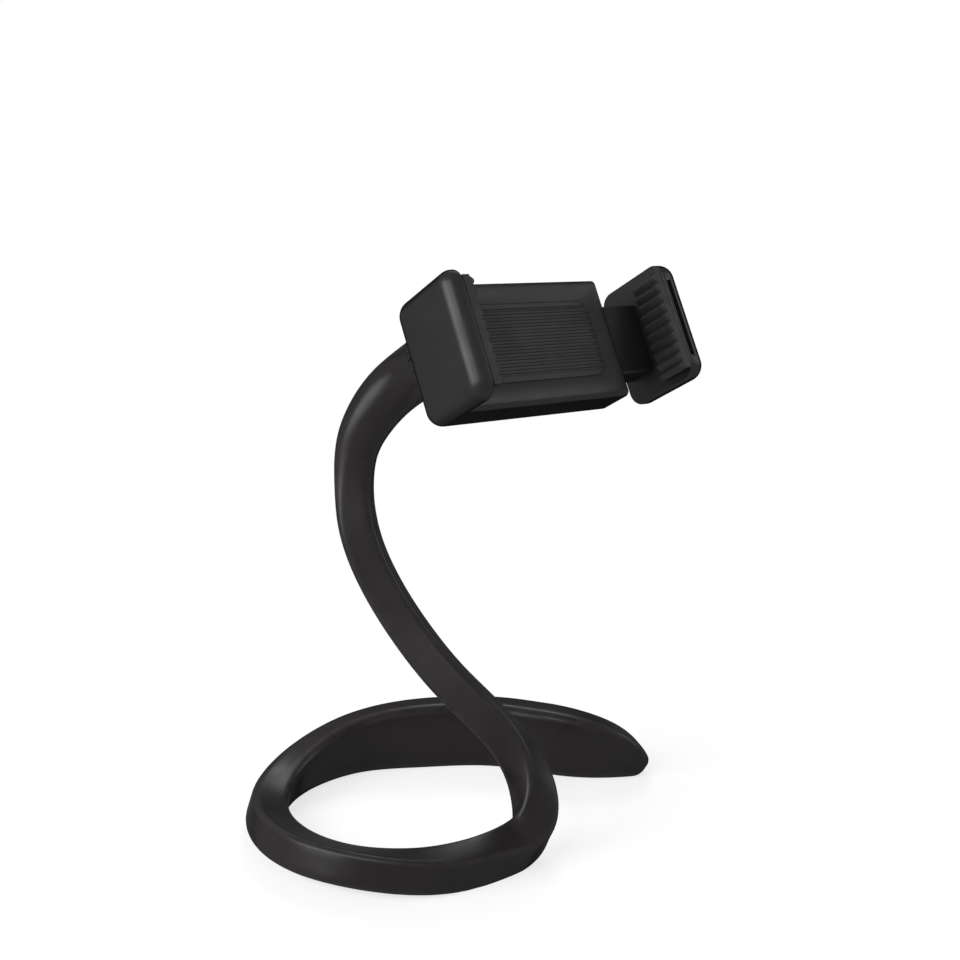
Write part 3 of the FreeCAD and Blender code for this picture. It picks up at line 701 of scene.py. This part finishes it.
def metal(name, colour, roughness, grain_scale):
    """Bare metal with cloudy gloss and tone."""
    made, tree, shader = material(name, colour, roughness[0], METAL_SPECULAR)
    shader.inputs["Metallic"].default_value = 1.0
    tree.links.new(spread(tree, noise(tree, *METAL_GLOSS_CLOUDS), *roughness), shader.inputs["Roughness"])
    tone = spread(tree, noise(tree, *METAL_COLOUR_CLOUDS), 0.0, 1.0)
    dark = [c * METAL_DARK_SHARE for c in colour]
    tree.links.new(two_tone(tree, tone, dark, colour), shader.inputs["Base Color"])
    grain(tree, shader, noise(tree, grain_scale, GRAIN_DETAIL), METAL_GRAIN_DEPTH, METAL_GRAIN_STRENGTH)
    return made


# Matte silicone, faintly violet black, with its edges rubbed a little paler
ARM_RUBBER = moulded(
    "arm_rubber", dark=(0.0068, 0.0055, 0.0062), light=(0.0109, 0.0089, 0.01), roughness=(0.28, 0.36),
    specular=0.14, grain_scale=1500.0, grain_depth=0.03, worn=True)
CLAMP_PLASTIC = moulded(
    "clamp_plastic", dark=(0.0055, 0.0055, 0.0057), light=(0.0085, 0.0085, 0.0088), roughness=(0.33, 0.42),
    specular=0.22, grain_scale=2600.0, grain_depth=0.03)
PAD_RUBBER = moulded(
    "pad_rubber", dark=(0.0105, 0.0105, 0.011), light=(0.016, 0.016, 0.0165), roughness=(0.5, 0.62),
    specular=0.3, grain_scale=1800.0, grain_depth=0.05)
STUD_METAL = metal("stud_metal", (0.46, 0.46, 0.47), (0.24, 0.36), 900.0)
SCREW_STEEL = metal("screw_steel", (0.16, 0.16, 0.165), (0.3, 0.42), 1200.0)
SPRING_STEEL = metal("spring_steel", (0.42, 0.42, 0.43), (0.25, 0.4), 1500.0)
CORE_WIRE = metal("core_wire", (0.6, 0.6, 0.6), (0.3, 0.45), 900.0)


def dress(node, finish, soft_edge):
    """Give a CAD node its material, smooth shading on its curves and a small round on its sharp edges."""
    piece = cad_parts[node]
    piece.data.materials.clear()
    piece.data.materials.append(finish)
    piece.data.shade_smooth()
    piece.data.set_sharp_from_angle(angle=math.radians(SHARP_DEG))
    weld = piece.modifiers.new("weld", "WELD")
    weld.merge_threshold = WELD_DISTANCE * MM
    bevel = piece.modifiers.new("soft_edge", "BEVEL")
    bevel.width = soft_edge * MM
    bevel.segments = BEVEL_SEGMENTS
    bevel.limit_method = "ANGLE"
    bevel.angle_limit = math.radians(BEVEL_FROM_DEG)
    bevel.harden_normals = True


# Material and edge radius of each node that is shown as it is
FINISHES = {
    "clamp_body": (CLAMP_PLASTIC, 0.25),
    "sliding_jaw": (CLAMP_PLASTIC, 0.25),
    "rear_cover": (CLAMP_PLASTIC, 0.2),
    "lock_ring": (CLAMP_PLASTIC, 0.15),
    "fixed_jaw_pad": (PAD_RUBBER, 0.15),
    "sliding_jaw_pad": (PAD_RUBBER, 0.15),
    "ball_stud": (STUD_METAL, 0.15),
    "fixed_spring_pin": (SPRING_STEEL, 0.1),
    "sliding_spring_pin": (SPRING_STEEL, 0.1),
}
for node, (finish, soft_edge) in FINISHES.items():
    dress(node, finish, soft_edge)

arm = new_piece("arm_skin", arm_mesh())
arm.data.materials.append(ARM_RUBBER)
core = new_piece("core_wire", tube_mesh(core_path(), CORE_DIAMETER / 2.0, CORE_SIDES))
core.data.materials.append(CORE_WIRE)
for piece, node, slot in ((arm, "arm_jacket", "arm_rubber"), (core, "arm_core", "core_wire")):
    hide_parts(node)
    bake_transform(piece)

for name, height in (("upper_spring", SPRING_Z), ("lower_spring", -SPRING_Z)):
    wire = new_piece(name + "_wire", tube_mesh(spring_path(height), SPRING_WIRE / 2.0, SPRING_SIDES))
    wire.data.materials.append(SPRING_STEEL)
    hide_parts(name)
    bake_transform(wire)

screws = new_piece("cross_screws", screw_mesh())
screws.data.set_sharp_from_angle(angle=math.radians(SHARP_DEG))
screws.data.materials.append(SCREW_STEEL)
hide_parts("cover_screws")
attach(screws, "clamp")

ribbed_rest = new_piece("ribbed_rest", rest_pad_mesh())
ribbed_rest.data.set_sharp_from_angle(angle=math.radians(RIB_SHARP_DEG))
ribbed_rest.data.materials.append(PAD_RUBBER)
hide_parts("rest_pad")
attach(ribbed_rest, "clamp")


# Stage: floor, world, lights and camera

def background_share(tree):
    """1 for rays that show the background: seen directly, in reflections or through clear things."""
    path = tree.nodes.new("ShaderNodeLightPath")
    total = path.outputs["Is Camera Ray"]
    for name in ("Is Glossy Ray", "Is Transmission Ray"):
        add = tree.nodes.new("ShaderNodeMath")
        add.operation = "MAXIMUM"
        tree.links.new(total, add.inputs[0])
        tree.links.new(path.outputs[name], add.inputs[1])
        total = add.outputs["Value"]
    return total


def make_world():
    """White behind the part, and a weaker even fill on it."""
    world = bpy.data.worlds.new("studio")
    world.use_nodes = True
    bpy.context.scene.world = world
    tree = world.node_tree
    fill = tree.nodes["Background"]
    fill.inputs["Color"].default_value = (1.0, 1.0, 1.0, 1.0)
    fill.inputs["Strength"].default_value = WORLD_FILL
    white = tree.nodes.new("ShaderNodeBackground")
    white.inputs["Strength"].default_value = 1.0
    white.inputs["Color"].default_value = (1.0, 1.0, 1.0, 1.0)
    both = tree.nodes.new("ShaderNodeMixShader")
    tree.links.new(background_share(tree), both.inputs["Fac"])
    tree.links.new(fill.outputs["Background"], both.inputs[1])
    tree.links.new(white.outputs["Background"], both.inputs[2])
    tree.links.new(both.outputs["Shader"], tree.nodes["World Output"].inputs["Surface"])


def make_floor():
    """Pale paper that takes the shadow near the part and fades to the white background."""
    shape = bmesh.new()
    bmesh.ops.create_grid(shape, x_segments=FLOOR_CELLS, y_segments=FLOOR_CELLS, size=FLOOR_HALF_SIZE)
    floor = new_piece("floor", shape)
    finish = bpy.data.materials.new("floor_white")
    finish.use_nodes = True
    tree = finish.node_tree
    tree.nodes.remove(tree.nodes["Principled BSDF"])
    paper = tree.nodes.new("ShaderNodeBsdfDiffuse")
    paper.inputs["Color"].default_value = (FLOOR_GREY, FLOOR_GREY, FLOOR_GREY, 1.0)
    white = tree.nodes.new("ShaderNodeEmission")
    white.inputs["Strength"].default_value = 1.0
    spot = tree.nodes.new("ShaderNodeTexCoord")
    reach = tree.nodes.new("ShaderNodeVectorMath")
    reach.operation = "LENGTH"
    tree.links.new(spot.outputs["Object"], reach.inputs[0])
    far = tree.nodes.new("ShaderNodeMapRange")
    far.interpolation_type = "SMOOTHSTEP"
    far.inputs["From Min"].default_value = SHADOW_FADE[0]
    far.inputs["From Max"].default_value = SHADOW_FADE[1]
    far.inputs["To Min"].default_value = WHITE_NEAR_PART
    far.inputs["To Max"].default_value = 1.0
    tree.links.new(reach.outputs["Value"], far.inputs["Value"])
    share = tree.nodes.new("ShaderNodeMath")
    share.operation = "MULTIPLY"
    tree.links.new(background_share(tree), share.inputs[0])
    tree.links.new(far.outputs["Result"], share.inputs[1])
    both = tree.nodes.new("ShaderNodeMixShader")
    tree.links.new(share.outputs["Value"], both.inputs["Fac"])
    tree.links.new(paper.outputs["BSDF"], both.inputs[1])
    tree.links.new(white.outputs["Emission"], both.inputs[2])
    tree.links.new(both.outputs["Shader"], tree.nodes["Material Output"].inputs["Surface"])
    floor.data.materials.append(finish)


def softbox(name, spot, aim, size, watts):
    light = bpy.data.lights.new(name, "AREA")
    light.shape = "RECTANGLE"
    light.size, light.size_y = size
    light.energy = watts
    lamp = bpy.data.objects.new(name, light)
    lamp.location = spot
    lamp.rotation_euler = (Vector(aim) - Vector(spot)).to_track_quat("-Z", "Y").to_euler()
    bpy.context.scene.collection.objects.link(lamp)


def make_camera():
    lens = bpy.data.cameras.new("camera")
    lens.sensor_width = SENSOR_MM
    lens.lens = SENSOR_MM * FOCAL_PIXELS / IMAGE_PIXELS
    lens.clip_start = CLIP_START
    camera = bpy.data.objects.new("camera", lens)
    camera.location = place(CAMERA_PLACE)
    camera.rotation_euler = (math.radians(90.0 - CAMERA_PITCH_DEG), 0.0, math.radians(-CAMERA_TURN_DEG))
    bpy.context.scene.collection.objects.link(camera)
    bpy.context.scene.camera = camera


make_world()
make_floor()
make_camera()
for lamp in LAMPS:
    softbox(*lamp)

bpy.context.scene.view_settings.view_transform = "Standard"
